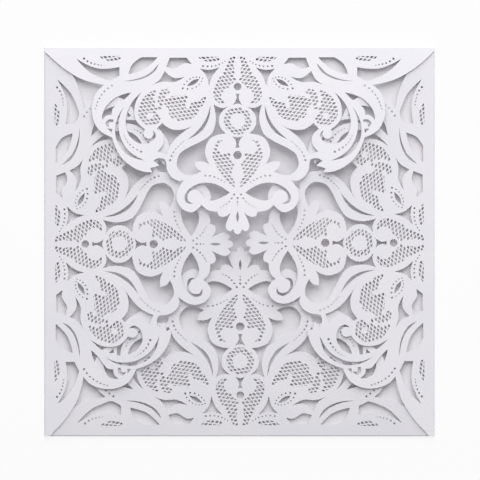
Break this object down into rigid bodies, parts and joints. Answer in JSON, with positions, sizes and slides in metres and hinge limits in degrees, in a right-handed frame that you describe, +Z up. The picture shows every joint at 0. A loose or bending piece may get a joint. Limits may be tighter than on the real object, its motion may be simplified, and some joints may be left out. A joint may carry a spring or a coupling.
{
  "type": "laser-cut wedding invitation",
  "caption": "Square folded invitation card: a plain back panel with lace-cut flaps of scrolls and hearts folded over its face, made from one sheet of white pearl card",
  "frame": {"origin": "middle of the back panel's outer face, on the surface the card lies on", "axes": "+X to the right flap, +Y to the head flap that lies on top, +Z up from the table through the flaps"},
  "size_m": [0.155, 0.155, 0.0075],
  "materials": {
    "pearl_card": "smooth pearl sheen"
  },
  "bodies": {
    "root": {"folded_card": "pearl_card"}
  },
  "joints": []
}
